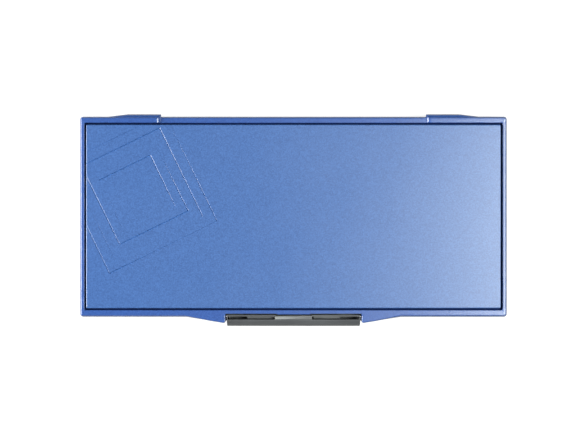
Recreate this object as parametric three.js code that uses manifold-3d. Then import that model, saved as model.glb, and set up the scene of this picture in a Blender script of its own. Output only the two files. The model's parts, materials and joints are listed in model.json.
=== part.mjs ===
// A large ink pad in a hinged plastic case. The base holds a drop-in pad cartridge, the lid carries a
// raised panel and turns on two steel pins, and a sprung latch bar in the lid's front hooks the base.
// Everything is drawn with the lid shut, +X to the right, +Y to the hinge, +Z up, on the table at z = 0.
import * as THREE from "three";
import { mergeVertices } from "three/addons/utils/BufferGeometryUtils.js";
import Module from "manifold-3d";

const wasm = await Module();
wasm.setup();

// Driving sizes in millimetres. Each is set by itself, and what fits to it is worked out further down.
const caseLength = 200; // lid rim, left to right
const caseDepth = 93.9; // lid rim, front to back
const baseHeight = 10.4; // table to the top of the base's flange
const lidHeight = 8.2; // flange to the top of the lid's panel
const rimCorner = 1.4; // radius of the lid's corners in plan
const seat = 0.3; // gap left between two pieces that touch
const bond = 0.1; // how far solids that are joined into one piece run into each other

// Base
const footProud = 0.8;
const footRadius = 5;
const footThickness = 1.2;
const footInset = 14; // foot centre from the side and from the front or back of the case
const floorThickness = 1.8;
const baseWall = 1.6;
const flangeThickness = 1.2;
const upstand = 1.5; // how far the base's wall stands up inside the lid
const lidClearance = 0.4; // between the base's wall and the lid's skirt
const trayCorner = 2.4;

// Lid
const skirt = 1.6;
const deckThickness = 1.6;
const panelProud = 0.8; // panel above the rim
const panelThickness = 1.6;
const panelCorner = 0.6;
const panelRib = 3; // width of the ribs that the panel stands on
const panelSideMargin = 3.1;
const panelFrontMargin = 4.15;
const panelRearMargin = 3.95;
const grooveWidth = 0.95;
const grooveDepth = 2.4; // below the rim
const rearStripDrop = 1.4; // the rim between the hinges lies this much lower
const linerThickness = 0.5;
const sealWidth = 2.2;
const sealHeight = 1.5;

// Hinges
const hingeProud = 1.15; // hinge bulge behind the rim
const barrelRadius = 2.6;
const pinRadius = 1.2;
const pinClearance = 0.1;
const lugRadius = 2;
const lugWidth = 2.8;
const knuckleWidth = 11.8;
const hingeGap = 0.3; // side gap between lug and knuckle
const hingeInner = 62.4; // inner end of each hinge bulge from the middle of the case
const bulgeLength = 24.3;
const bulgeTaper = 9; // length over which its outer end runs out
const heelBite = 0.2; // how far the heel would reach into the base's wall, if it could turn past it
const lidStop = 122; // degrees at which the heel meets the base

// Latch
const latchLength = 62.4;
const latchProud = 4.5; // latch front beyond the rim
const latchWall = 1.6;
const latchFlat = 2.2; // width of the flat on its top
const latchKnee = 5; // the front's most forward line, below the latch's top
const latchShoulder = 0.9; // how far the curve from top to front is held back
const latchLean = 0.4; // the apron's foot is set back by this
const latchGap = 0.7;
const latchDrop = 0.4; // latch top below the rim
const notchDepth = 1.2; // how far the notch cuts into the rim
const apronBelow = 4.6; // apron bottom below the top of the flange
const pivotBelow = 2; // pivot below the rim
const pivotFront = 0.85; // pivot beyond the rim
const trunnionRadius = 0.9;
const trunnionLength = 3;
const trunnionClearance = 0.15;
const hookBite = 0.8;
const hookThickness = 1.1;
const hookLength = 24.6;
const hookInner = 6; // inner end of each hook from the middle
const flareLength = 18.4;
const flareProud = 2.95; // flare's front beyond the rim, beside the latch
const flareCorner = 0.8;
const slotWidth = 1.1;
const slotSetback = 0.6; // strip left between the slot and the latch's rear edge
const stripStep = 0.4; // beside its slots the latch reaches this much further back, and so does its notch
const slotInner = 9.4;
const slotStep = 21.7; // from here outwards the slot goes right through
const slotOuter = 30.2;
const ledgeDepth = 2.4; // depth of the slot's inner stretch, down to its shelf
const shelfThickness = 1;
const stripInner = slotInner - shelfThickness;

// Pad
const padGap = 0.6; // between the base and the cartridge
const cartridgeWall = 1.2;
const cartridgeFloor = 1;
const boardThickness = 1;
const foamThickness = 2.2;
const clothThickness = 0.8;
const padHeadroom = 0.8; // pad top below the liner
const padProudOfFrame = 0.9;
const frameThickness = 1;
const frameWidth = 3.4;
const frameLip = 2; // depth of the frame's inner lip
const frameLipGap = 0.4;
const padCorner = 3;

// Derived heights
const baseBottom = footProud;
const floorTop = baseBottom + floorThickness;
const skirtBottom = baseHeight + seat;
const panelTop = baseHeight + lidHeight;
const rimTop = panelTop - panelProud;
const deckTop = rimTop - grooveDepth;
const deckBottom = deckTop - deckThickness;
const upstandTop = baseHeight + upstand;
const linerBottom = deckBottom - seat - linerThickness;
const padTop = linerBottom - padHeadroom;
const clothBottom = padTop - clothThickness;
const foamTop = clothBottom - seat;
const foamBottom = foamTop - foamThickness;
const frameTop = padTop - padProudOfFrame;
const frameBottom = frameTop - frameThickness;
const cartridgeBottom = floorTop + seat;
const boardBottom = cartridgeBottom + cartridgeFloor + seat;
const boardTop = boardBottom + boardThickness;
const feltBottom = boardTop + seat;
const feltTop = foamBottom - seat;

// Derived places in plan, from the middle of the rim
const halfX = caseLength / 2;
const halfY = caseDepth / 2;
const hinge = { y: halfY + hingeProud - barrelRadius, z: baseHeight + bond };
const baseBox = {
  x: halfX - skirt - lidClearance,
  front: -(halfY - skirt - lidClearance),
  rear: hinge.y - barrelRadius - lidClearance,
};
const panelBox = {
  x: halfX - panelSideMargin,
  front: -(halfY - panelFrontMargin),
  rear: halfY - panelRearMargin,
};
const latchFront = -(halfY + latchProud);
const notchBack = -(halfY - notchDepth);
const latchBack = notchBack - latchGap;
const notchHalf = latchLength / 2 + latchGap;
const latchTop = rimTop - latchDrop;
const pivot = { y: -(halfY + pivotFront), z: rimTop - pivotBelow };
const heelRadius = barrelRadius + lidClearance + heelBite;
const lugStarts = [hingeInner + hingeGap, hingeInner + 3 * hingeGap + lugWidth + knuckleWidth];
const knuckleStart = lugStarts[0] + lugWidth + hingeGap;

// Shapes. A box in plan is {x, front, rear}: it reaches x to each side, and from front to rear along Y.
const inset = (box, by) => ({ x: box.x - by, front: box.front + by, rear: box.rear - by });

function roundedBox(box, radius) {
  const r = Math.max(radius, bond);
  const shape = new THREE.Shape();
  shape.absarc(box.x - r, box.rear - r, r, 0, Math.PI / 2);
  shape.absarc(-box.x + r, box.rear - r, r, Math.PI / 2, Math.PI);
  shape.absarc(-box.x + r, box.front + r, r, Math.PI, 1.5 * Math.PI);
  shape.absarc(box.x - r, box.front + r, r, 1.5 * Math.PI, 2 * Math.PI);
  return shape;
}

function outline(points) {
  return new THREE.Shape(points.map(([a, b]) => new THREE.Vector2(a, b)));
}

function disc(a, b, radius) {
  return new THREE.Shape().absarc(a, b, radius, 0, 2 * Math.PI);
}

// Solids. upright() carries a plan shape up from z0 to z1, and across() carries a section in Y and Z
// along X from x0 to x1.
function solid(geometry) {
  geometry.deleteAttribute("normal");
  geometry.deleteAttribute("uv");
  const merged = mergeVertices(geometry, 1e-4);
  return new wasm.Manifold(
    new wasm.Mesh({
      numProp: 3,
      vertProperties: merged.attributes.position.array,
      triVerts: new Uint32Array(merged.index.array),
    }),
  );
}

function extruded(shape, depth, segments) {
  return new THREE.ExtrudeGeometry(shape, { depth, bevelEnabled: false, curveSegments: segments });
}

function upright(shape, z0, z1, segments = 6) {
  return solid(extruded(shape, z1 - z0, segments).translate(0, 0, z0));
}

const toSection = new THREE.Matrix4().makeBasis(
  new THREE.Vector3(0, 1, 0),
  new THREE.Vector3(0, 0, 1),
  new THREE.Vector3(1, 0, 0),
);

function across(shape, x0, x1, segments = 12) {
  return solid(extruded(shape, x1 - x0, segments).applyMatrix4(toSection).translate(x0, 0, 0));
}

// The same section carried along X from a to b on the right (side 1) or on the left (side -1).
function acrossSide(shape, side, a, b) {
  return across(shape, Math.min(side * a, side * b), Math.max(side * a, side * b));
}

function block(x0, x1, y0, y1, z0, z1) {
  return upright(outline([[x0, y0], [x1, y0], [x1, y1], [x0, y1]]), z0, z1);
}

function blockSide(side, a, b, y0, y1, z0, z1) {
  return block(Math.min(side * a, side * b), Math.max(side * a, side * b), y0, y1, z0, z1);
}

const join = (...solids) => solids.reduce((a, b) => a.add(b));
const cut = (body, ...tools) => tools.reduce((a, b) => a.subtract(b), body);
const sides = [1, -1];

// An open-topped tray with a floor and one wall all round.
function tray(box, corner, wall, z0, floor, z1) {
  return cut(
    upright(roundedBox(box, corner), z0, z1),
    upright(roundedBox(inset(box, wall), corner - wall), z0 + floor, z1 + 1),
  );
}

function ring(box, corner, width, z0, z1) {
  return cut(
    upright(roundedBox(box, corner), z0, z1),
    upright(roundedBox(inset(box, width), corner - width), z0 - 1, z1 + 1),
  );
}

// Foot places, by name
const footPlaces = {};
for (const [end, y] of [["front", baseBox.front + footInset], ["rear", baseBox.rear - footInset]])
  for (const [name, side] of [["left", -1], ["right", 1]])
    footPlaces[`foot_${end}_${name}`] = [side * (halfX - footInset), y];

function baseTray() {
  let body = tray(baseBox, trayCorner, baseWall, baseBottom, floorThickness, upstandTop);
  // The flange runs along the front and both sides, flush with the lid, and stops at the back.
  const flange = cut(
    upright(roundedBox({ x: halfX, front: -halfY, rear: halfY }, rimCorner),
      baseHeight - flangeThickness, baseHeight),
    upright(roundedBox(inset(baseBox, baseWall / 2), trayCorner), 0, rimTop),
    block(-caseLength, caseLength, baseBox.rear - trayCorner, caseDepth, 0, rimTop),
  );
  body = join(body, flange);
  const lug = join(
    across(disc(hinge.y, hinge.z, lugRadius), 0, lugWidth),
    block(0, lugWidth, baseBox.rear - baseWall / 2, hinge.y, hinge.z - lugRadius, hinge.z + lugRadius),
  );
  const bore = across(disc(hinge.y, hinge.z, pinRadius + pinClearance), -1, lugWidth + 1);
  for (const side of sides)
    for (const start of lugStarts) {
      const x = side > 0 ? start : -start - lugWidth;
      body = join(body, lug.translate([x, 0, 0]));
      body = cut(body, bore.translate([x, 0, 0]));
    }
  const recessTop = footThickness + seat;
  for (const [x, y] of Object.values(footPlaces))
    body = cut(body, upright(disc(x, y, footRadius + seat), 0, recessTop, 12));
  return body;
}

// The hinge bulge's section: down the back from the rim, tangent to the barrel, and back into the skirt.
function bulgeSection(bottom) {
  const shape = new THREE.Shape();
  const back = halfY + hingeProud;
  shape.moveTo(halfY - skirt, bottom);
  shape.lineTo(back, bottom);
  shape.lineTo(back, deckBottom);
  shape.quadraticCurveTo(back, rimTop - panelProud, halfY - 3 * bond, rimTop - 2 * bond);
  shape.lineTo(halfY - skirt, rimTop - 2 * bond);
  return shape;
}

function hingeBulge(side) {
  const start = side * hingeInner;
  const end = side * (hingeInner + bulgeLength);
  const full = side * (hingeInner + bulgeLength - bulgeTaper);
  const back = halfY + hingeProud;
  const plan = outline([[start, 0], [end, 0], [end, halfY], [full, back], [start, back]]);
  return acrossSide(bulgeSection(skirtBottom), side, hingeInner, hingeInner + bulgeLength).intersect(
    upright(plan, 0, panelTop),
  );
}

// The barrel that turns on the pin, with a heel that meets the base's rear wall at the lid's stop.
function knuckle(side) {
  const reach = hinge.y - baseBox.rear;
  const heel = THREE.MathUtils.degToRad(lidStop - 180) + Math.acos(reach / heelRadius);
  const tip = [hinge.y + heelRadius * Math.cos(heel), hinge.z + heelRadius * Math.sin(heel)];
  const foot = (turn) => [
    hinge.y + (barrelRadius - bond) * Math.cos(heel + turn),
    hinge.z + (barrelRadius - bond) * Math.sin(heel + turn),
  ];
  const end = knuckleStart + knuckleWidth;
  return join(
    acrossSide(disc(hinge.y, hinge.z, barrelRadius), side, knuckleStart, end),
    acrossSide(outline([[hinge.y, hinge.z], foot(-0.5), tip, foot(0.5)]), side, knuckleStart, end),
    acrossSide(bulgeSection(hinge.z), side, knuckleStart, end),
  );
}

function flare(side) {
  const inner = side * notchHalf;
  const front = -(halfY + flareProud);
  const plan = outline([
    [side * (notchHalf + flareLength), -halfY],
    [side * (notchHalf + flareCorner), front],
    [inner, front + flareCorner],
    [inner, -halfY + skirt],
    [side * (notchHalf + flareLength), -halfY + skirt],
  ]);
  return upright(plan, skirtBottom, rimTop);
}

function lidShell() {
  const rimBox = { x: halfX, front: -halfY, rear: halfY };
  const pocket = inset(panelBox, -grooveWidth);
  let body = cut(
    upright(roundedBox(rimBox, rimCorner), skirtBottom, rimTop),
    upright(roundedBox(pocket, panelCorner), deckTop, panelTop),
    upright(roundedBox(inset(rimBox, skirt), trayCorner), 0, deckBottom),
    block(-hingeInner, hingeInner, pocket.rear, halfY + 1, rimTop - rearStripDrop, panelTop),
  );
  for (const side of sides) body = join(body, hingeBulge(side), flare(side));
  // The windows that the base's lugs stand in.
  const window = block(0, lugWidth + 2 * hingeGap, baseBox.rear - baseWall, caseDepth, 0,
    hinge.z + lugRadius + lidClearance);
  for (const side of sides)
    for (const start of lugStarts) {
      const x = side > 0 ? start - hingeGap : -start - lugWidth - hingeGap;
      body = cut(body, window.translate([x, 0, 0]));
    }
  for (const side of sides) {
    body = join(body, knuckle(side));
    body = cut(body, acrossSide(disc(hinge.y, hinge.z, pinRadius + pinClearance), side,
      hingeInner - 1, knuckleStart + knuckleWidth + 1));
  }
  // The latch's notch, with a thicker wall behind it above the base's upstand.
  const notchFloor = upstandTop + lidClearance;
  body = join(body, block(-notchHalf - skirt, notchHalf + skirt, notchBack, notchBack + skirt,
    notchFloor, rimTop - bond).subtract(upright(roundedBox(pocket, panelCorner), deckTop, panelTop)));
  body = cut(
    body,
    block(-notchHalf, notchHalf, -caseDepth, notchBack, 0, panelTop),
    block(-notchHalf, notchHalf, -caseDepth, -halfY + skirt + bond, 0, notchFloor),
  );
  for (const side of sides) {
    body = cut(
      body,
      blockSide(side, stripInner - latchGap, notchHalf, -caseDepth, notchBack + stripStep, 0, panelTop),
      acrossSide(disc(pivot.y, pivot.z, trunnionRadius + trunnionClearance), side, notchHalf - 1,
        latchLength / 2 + trunnionLength + latchGap),
    );
  }
  return body;
}

// A plate with a shallow pocket under it, so that it stands on a rib all round and one across.
function lidPanel() {
  const bottom = deckTop + seat;
  const pocket = { ...inset(panelBox, panelRib), x: panelBox.x / 2 - panelRib };
  const hollow = upright(roundedBox(pocket, panelRib), 0, panelTop - panelThickness);
  return cut(
    upright(roundedBox(panelBox, panelCorner), bottom, panelTop),
    ...sides.map((side) => hollow.translate([(side * panelBox.x) / 2, 0, 0])),
  );
}

// The latch's outer line from its rear edge over the top and down the front, and back up inside.
function latchSection() {
  const bottom = baseHeight - apronBelow;
  const shoulder = latchBack - latchFlat;
  const knee = latchTop - latchKnee;
  const shape = new THREE.Shape();
  shape.moveTo(latchBack, latchTop - latchWall);
  shape.lineTo(latchBack, latchTop);
  shape.lineTo(shoulder, latchTop);
  shape.bezierCurveTo(latchFront + latchShoulder, latchTop - 2 * bond, latchFront, latchTop - latchWall,
    latchFront, knee);
  shape.lineTo(latchFront + latchLean, bottom);
  shape.lineTo(latchFront + latchLean + latchWall, bottom);
  shape.lineTo(latchFront + latchWall, knee);
  shape.quadraticCurveTo(latchFront + latchWall, latchTop - latchWall, shoulder, latchTop - latchWall);
  return shape;
}

function latchBar() {
  const half = latchLength / 2;
  const section = latchSection();
  let body = across(section, -half, half);
  const cheekBottom = pivot.z - trunnionRadius - 1;
  for (const side of sides) {
    // A solid cheek at each end carries the trunnion.
    const cheek = acrossSide(
      outline([
        [latchBack, cheekBottom],
        [latchBack, latchTop - bond],
        [latchBack - latchFlat, latchTop - bond],
        [latchFront + latchWall, latchTop - latchWall],
        [latchFront + latchWall, cheekBottom],
      ]),
      side,
      half - latchWall,
      half,
    );
    const trunnion = acrossSide(disc(pivot.y, pivot.z, trunnionRadius), side, half - bond,
      half + trunnionLength);
    const hookTop = baseHeight - flangeThickness - seat;
    const hook = acrossSide(
      outline([
        [latchFront + latchWall / 2, hookTop],
        [-halfY + hookBite, hookTop],
        [-halfY + hookBite, hookTop - hookThickness / 2],
        [-halfY, hookTop - hookThickness],
        [latchFront + latchWall / 2, hookTop - hookThickness],
      ]),
      side,
      hookInner,
      hookInner + hookLength,
    );
    // The strip behind the slot, and a shelf that closes the slot's inner stretch.
    const slotRear = latchBack + stripStep - slotSetback;
    const strip = blockSide(side, stripInner, half, latchBack - latchFlat, latchBack + stripStep,
      latchTop - latchWall, latchTop);
    const shelf = blockSide(side, stripInner, slotStep, slotRear - slotWidth - slotSetback,
      latchBack + stripStep - bond, latchTop - ledgeDepth - shelfThickness, latchTop - bond);
    body = join(body, cheek, trunnion, hook, strip, shelf);
    const slot = (a, b, depth) =>
      blockSide(side, a, b, slotRear - slotWidth, slotRear, latchTop - depth, latchTop + 1);
    body = cut(body, slot(slotStep, slotOuter, 2 * latchWall), slot(slotInner, slotStep, ledgeDepth));
  }
  return body;
}

// The pad, from the cartridge's floor up to the cloth
const cartridgeBox = inset(baseBox, baseWall + padGap);
const frameOpening = inset(cartridgeBox, frameWidth);
const clothBox = inset(frameOpening, seat);
const fillBox = inset(clothBox, clothThickness + seat);
const lipBox = inset(cartridgeBox, cartridgeWall + frameLipGap);
const cartridgeTop = frameBottom - seat;

function clothFrame() {
  const lip = cut(
    upright(roundedBox(lipBox, padCorner), frameBottom - frameLip, frameBottom + bond),
    upright(roundedBox(frameOpening, padCorner), 0, rimTop),
  );
  const flat = cut(
    upright(roundedBox(cartridgeBox, trayCorner), frameBottom, frameTop),
    upright(roundedBox(frameOpening, padCorner), 0, rimTop),
  );
  return join(flat, lip);
}

// Cloth stretched over the foam: a shallow cap, open below.
function padCloth() {
  return cut(
    upright(roundedBox(clothBox, padCorner), feltBottom, padTop),
    upright(roundedBox(inset(clothBox, clothThickness), padCorner), 0, clothBottom),
  );
}

function hingePin(side) {
  const start = lugStarts[0] + hingeGap;
  const end = lugStarts[1] + lugWidth - hingeGap;
  return acrossSide(disc(hinge.y, hinge.z, pinRadius), side, start, end);
}

function plate(box, corner, z0, z1) {
  return upright(roundedBox(box, corner), z0, z1);
}

const sealBox = inset(cartridgeBox, (frameWidth - sealWidth) / 2);
const linerBox = inset(sealBox, sealWidth + seat);
const sealTop = deckBottom - seat;

// Finishes
const finish = (color, roughness, metalness = 0) =>
  new THREE.MeshStandardMaterial({ color, roughness, metalness });
const finishes = {
  bluePearl: () => finish(0x4a70b4, 0.35, 0.2),
  grey: () => finish(0x7a7d7e, 0.45),
  darkGrey: () => finish(0x53565a, 0.5),
  black: () => finish(0x1c1d1f, 0.5),
  rubber: () => finish(0x151515, 0.85),
  steel: () => finish(0xb8babc, 0.3, 1),
  board: () => finish(0xb9b3a4, 0.8),
  felt: () => finish(0x1d2f78, 0.95),
  foam: () => finish(0x22388a, 0.95),
  cloth: () => finish(0x14277a, 0.7),
  liner: () => finish(0xd6dade, 0.3),
};

const inkPad = new THREE.Group();

function add(name, body, material) {
  const { vertProperties, triVerts } = body.getMesh();
  const geometry = new THREE.BufferGeometry();
  geometry.setAttribute("position", new THREE.BufferAttribute(vertProperties, 3));
  geometry.setIndex(new THREE.BufferAttribute(triVerts, 1));
  geometry.computeVertexNormals();
  const mesh = new THREE.Mesh(geometry, finishes[material]());
  mesh.name = name;
  inkPad.add(mesh);
}

add("base_tray", baseTray(), "darkGrey");
for (const [name, [x, y]] of Object.entries(footPlaces))
  add(name, upright(disc(x, y, footRadius), 0, footThickness, 12), "rubber");
add("hinge_pin_left", hingePin(-1), "steel");
add("hinge_pin_right", hingePin(1), "steel");
add("pad_cartridge", tray(cartridgeBox, trayCorner, cartridgeWall, cartridgeBottom, cartridgeFloor,
  cartridgeTop), "black");
add("backing_board", plate(inset(cartridgeBox, cartridgeWall + seat), 1, boardBottom, boardTop), "board");
add("felt_reservoir", plate(fillBox, padCorner, feltBottom, feltTop), "felt");
add("foam_layer", plate(fillBox, padCorner, foamBottom, foamTop), "foam");
add("pad_cloth", padCloth(), "cloth");
add("cloth_frame", clothFrame(), "black");
add("lid_shell", lidShell(), "bluePearl");
add("lid_panel", lidPanel(), "bluePearl");
add("lid_liner", plate(linerBox, padCorner, linerBottom, deckBottom - seat), "liner");
add("lid_seal", ring(sealBox, padCorner, sealWidth, sealTop - sealHeight, sealTop), "rubber");
add("latch_bar", latchBar(), "grey");

// The middle of the whole length and depth comes to x = 0 and y = 0.
inkPad.position.y = -(latchFront + halfY + hingeProud) / 2;

export default inkPad;
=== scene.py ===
"""A wide ink pad in a hinged plastic case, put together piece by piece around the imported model.

Lengths are in metres, in the model's own frame: +X right, +Y to the hinges, +Z up, feet on z = 0.
"""

import json
import math

import bmesh
import bpy
import numpy as np
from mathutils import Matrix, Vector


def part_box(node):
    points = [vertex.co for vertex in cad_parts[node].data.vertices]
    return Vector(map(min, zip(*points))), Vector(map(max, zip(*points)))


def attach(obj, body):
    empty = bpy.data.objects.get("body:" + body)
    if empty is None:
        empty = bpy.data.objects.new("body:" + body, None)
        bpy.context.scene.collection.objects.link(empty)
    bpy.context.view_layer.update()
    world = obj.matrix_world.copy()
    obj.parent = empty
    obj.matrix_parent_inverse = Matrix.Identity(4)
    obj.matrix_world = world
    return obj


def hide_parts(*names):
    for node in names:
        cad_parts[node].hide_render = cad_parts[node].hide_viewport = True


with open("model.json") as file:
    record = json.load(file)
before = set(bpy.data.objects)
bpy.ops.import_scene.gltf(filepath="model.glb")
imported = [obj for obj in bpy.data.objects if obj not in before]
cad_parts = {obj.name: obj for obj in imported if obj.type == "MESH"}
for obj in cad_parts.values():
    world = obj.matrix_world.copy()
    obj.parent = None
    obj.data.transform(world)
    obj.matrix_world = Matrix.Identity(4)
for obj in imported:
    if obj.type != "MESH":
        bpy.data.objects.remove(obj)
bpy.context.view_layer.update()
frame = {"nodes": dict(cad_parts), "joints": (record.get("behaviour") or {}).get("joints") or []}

mm = 0.001
joints = {joint["name"]: joint for joint in frame["joints"]}
hinge_y, hinge_z = joints["lid_hinge"]["pos_m"][1:]
pivot_y, pivot_z = joints["latch_pivot"]["pos_m"][1:]


# ---- Base tray -------------------------------------------------
# The lower half of the case, one injection moulding in dark grey plastic. Its wall leans in a little
# towards the bottom, a flange runs round the front and sides for the lid to close on, and two lugs
# at each end of the back hold the hinge pins.


def reach(node):
    """A CAD node's box (half length, front, rear), underside and top."""
    low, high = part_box(node)
    return (high.x, low.y, high.y), low.z, high.z


def rounded_path(corners, step=2 * mm, arc_points=7):
    """Closed anticlockwise outline through corners (x, y, radius). A corner becomes the arc of its
    radius that touches both sides, and the straight stretches are split to at most step long."""
    corners = np.array(corners, float)
    at, radius = corners[:, :2], corners[:, 2:]
    to_last, to_next = np.roll(at, 1, axis=0) - at, np.roll(at, -1, axis=0) - at
    to_last /= np.linalg.norm(to_last, axis=1, keepdims=True)
    to_next /= np.linalg.norm(to_next, axis=1, keepdims=True)
    half = np.arccos(np.clip((to_last * to_next).sum(1, keepdims=True), -1, 1)) / 2
    middle = to_last + to_next
    middle /= np.maximum(np.linalg.norm(middle, axis=1, keepdims=True), 1e-12)
    centre = at + middle * radius / np.sin(half)
    starts = at + to_last * radius / np.tan(half)
    ends = at + to_next * radius / np.tan(half)
    pieces = []
    for i in range(len(corners)):
        t = np.linspace(0, 1, arc_points if radius[i, 0] > 0 else 1)[:, None]
        turn = math.pi - 2 * half[i, 0]
        arc = np.sin((1 - t) * turn) * (starts[i] - centre[i]) + np.sin(t * turn) * (ends[i] - centre[i])
        pieces.append(centre[i] + arc / max(math.sin(turn), 1e-9))
        onward = np.roll(starts, -1, axis=0)[i] - ends[i]
        count = math.ceil(np.linalg.norm(onward) / step)
        pieces.append(ends[i] + np.linspace(0, 1, count + 1)[1:-1, None] * onward)
    return np.vstack(pieces)


def rectangle(x0, x1, y0, y1, radius, step):
    """Outline of a rectangle with round corners."""
    return rounded_path([(x0, y0, radius), (x1, y0, radius), (x1, y1, radius), (x0, y1, radius)], step)


def box_path(box, radius, step=2 * mm):
    """Outline of a rounded box (half length, front, rear)."""
    x, front, rear = box
    return rectangle(-x, x, front, rear, radius, step)


def inset(box, by):
    x, front, rear = box
    return x - by, front + by, rear - by


def nearest(points, box, radius):
    """The nearest point of a rounded box's outline to each point on or outside it: the point is
    clipped to the box that the corner arcs' centres make, and moved back out by the radius."""
    x, front, rear = box
    core = np.clip(points, [radius - x, front + radius], [x - radius, rear - radius])
    away = points - core
    return core + radius * away / np.linalg.norm(away, axis=1, keepdims=True)


def outward(outline):
    """Unit vector out of an anticlockwise outline at each point, square to its two neighbours."""
    along = np.roll(outline, -1, axis=0) - np.roll(outline, 1, axis=0)
    out = np.stack([along[:, 1], -along[:, 0]], axis=1)
    return out / np.linalg.norm(out, axis=1, keepdims=True)


def lift(outline, z):
    """Plan points at height z, which is one number or one for each point."""
    return np.column_stack([outline, np.broadcast_to(z, len(outline))])


def quarter(start, corner, end, count=5):
    """Rows of a quarter ellipse from start to end that bulges to corner:
    corner + (start - corner)(1 - sin a) + (end - corner)(1 - cos a), for a from 0 to 90 degrees."""
    a = np.linspace(0, math.pi / 2, count)[:, None, None]
    return corner + (start - corner) * (1 - np.sin(a)) + (end - corner) * (1 - np.cos(a))


def new_object(name, data):
    """An object at the origin for a mesh, light or camera, linked to the scene."""
    made = bpy.data.objects.new(name, data)
    bpy.context.scene.collection.objects.link(made)
    return made


def smooth(piece, crease=30):
    piece.data.shade_smooth()
    piece.data.set_sharp_from_angle(angle=math.radians(crease))


def between(a, b):
    """Four-sided faces between rows of point numbers and the rows beside them. Each row closes on
    itself: a face goes from a point to the next in its row, across, and back."""
    faces = np.stack([a, np.roll(a, -1, axis=1), np.roll(b, -1, axis=1), b], axis=-1)
    return faces.reshape(-1, 4).tolist()


def loft(name, rows, ring=False, crease=30):
    """A closed mesh object through rows of matching points, smooth but for edges over crease degrees.
    Each row closes on itself. The first and last are filled, or meet each other when ring is true."""
    rows = np.concatenate([r if r.ndim == 3 else r[None] for r in rows])
    count, stations = rows.shape[:2]
    index = np.arange(count * stations).reshape(count, stations)
    if ring:
        faces = between(index, np.roll(index, -1, axis=0))
    else:
        faces = between(index[:-1], index[1:]) + [index[0][::-1].tolist(), index[-1].tolist()]
    mesh = bpy.data.meshes.new(name)
    mesh.from_pydata(rows.reshape(-1, 3).tolist(), [], faces)
    work = bmesh.new()
    work.from_mesh(mesh)
    bmesh.ops.remove_doubles(work, verts=work.verts, dist=1e-7)
    bmesh.ops.recalc_face_normals(work, faces=work.faces)
    work.to_mesh(mesh)
    work.free()
    piece = new_object(name, mesh)
    smooth(piece, crease)
    return piece


def bar(name, section, x0, x1, edge=0.15 * mm, count=4):
    """A closed section (y, z) carried along X from x0 to x1. Its ends are rounded over: within edge of
    an end the section is drawn in by edge(1 - sin a) where x has gone edge(1 - cos a)."""
    a = np.linspace(0, math.pi / 2, count)
    gone, drawn_in = edge * (1 - np.cos(a)), edge * (1 - np.sin(a))
    x = np.concatenate([x0 + gone, (x1 - gone)[::-1]])
    drawn_in = np.concatenate([drawn_in, drawn_in[::-1]])
    yz = section[None] - outward(section)[None] * drawn_in[:, None, None]
    return loft(name, [np.concatenate([np.broadcast_to(x[:, None, None], yz[..., :1].shape), yz], axis=2)])


around = np.linspace(0, 2 * math.pi, 48, endpoint=False)


def turned(name, profile, centre, along_x=False, crease=30):
    """A profile (radius, distance) turned round a line through centre, along Z or along X."""
    r, d = np.array(profile, float).T[:, :, None]
    u, v = r * np.cos(around), r * np.sin(around)
    w = np.broadcast_to(d, u.shape)
    rows = np.stack([w, u, v] if along_x else [u, v, w], axis=-1)
    return loft(name, [rows + np.array(centre)], crease=crease)


def on_side(side, a, b):
    """The span a to b for side 1, on the right, and its mirror image for side -1."""
    return (a, b) if side > 0 else (-b, -a)


def disc(y, z, radius):
    """A circle, as a section (y, z)."""
    return np.stack([y + radius * np.cos(around), z + radius * np.sin(around)], axis=1)


def combine(piece, tools, operation, crease=30):
    """Joins tools to piece (UNION) or cuts them from it (DIFFERENCE), and removes the tools."""
    for tool in tools:
        change = piece.modifiers.new(operation, "BOOLEAN")
        change.operation, change.solver, change.object = operation, "EXACT", tool
        bpy.context.view_layer.update()
        whole = piece.evaluated_get(bpy.context.evaluated_depsgraph_get())
        mesh = bpy.data.meshes.new_from_object(whole)
        piece.modifiers.clear()
        old, piece.data = piece.data, mesh
        bpy.data.meshes.remove(old)
        bpy.data.objects.remove(tool)
        mesh.name = piece.name
    smooth(piece, crease)


def block(x0, x1, y0, y1, z0, z1, radius=0.0):
    """A box, with the corners of its plan rounded."""
    path = rectangle(x0, x1, y0, y1, radius, step=1)
    return loft("block", [lift(path, z0), lift(path, z1)])


(tray_x, tray_front, _), tray_bottom, _ = reach("base_tray")
barrel_radius, lid_clearance = 2.6 * mm, 0.4 * mm
tray_rear = hinge_y - barrel_radius - lid_clearance
flange_reach, flange_corner = 2 * mm, 1.4 * mm
flange_bottom, flange_top, above_flange = 9.2 * mm, 10.4 * mm, 1.5 * mm
tray_top = flange_top + above_flange
wall, wall_corner, draft, floor_z = 1.6 * mm, 2.4 * mm, 0.5 * mm, 2.6 * mm

wall_box = (tray_x - flange_reach, tray_front + flange_reach, tray_rear)
flange_path = box_path((tray_x, tray_front, tray_rear), flange_corner)
wall_path = nearest(flange_path, wall_box, wall_corner)
# The flange runs out just before the back.
held = np.clip((tray_rear - wall_corner - flange_path[:, 1:]) / (0.4 * mm), 0, 1)
flange_path = wall_path + (flange_path - wall_path) * held


def wall_row(by, z):
    """The tray's wall drawn in by a distance, at height z."""
    return lift(nearest(flange_path, inset(wall_box, by), max(wall_corner - by, 0.5 * mm)), z)


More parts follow.
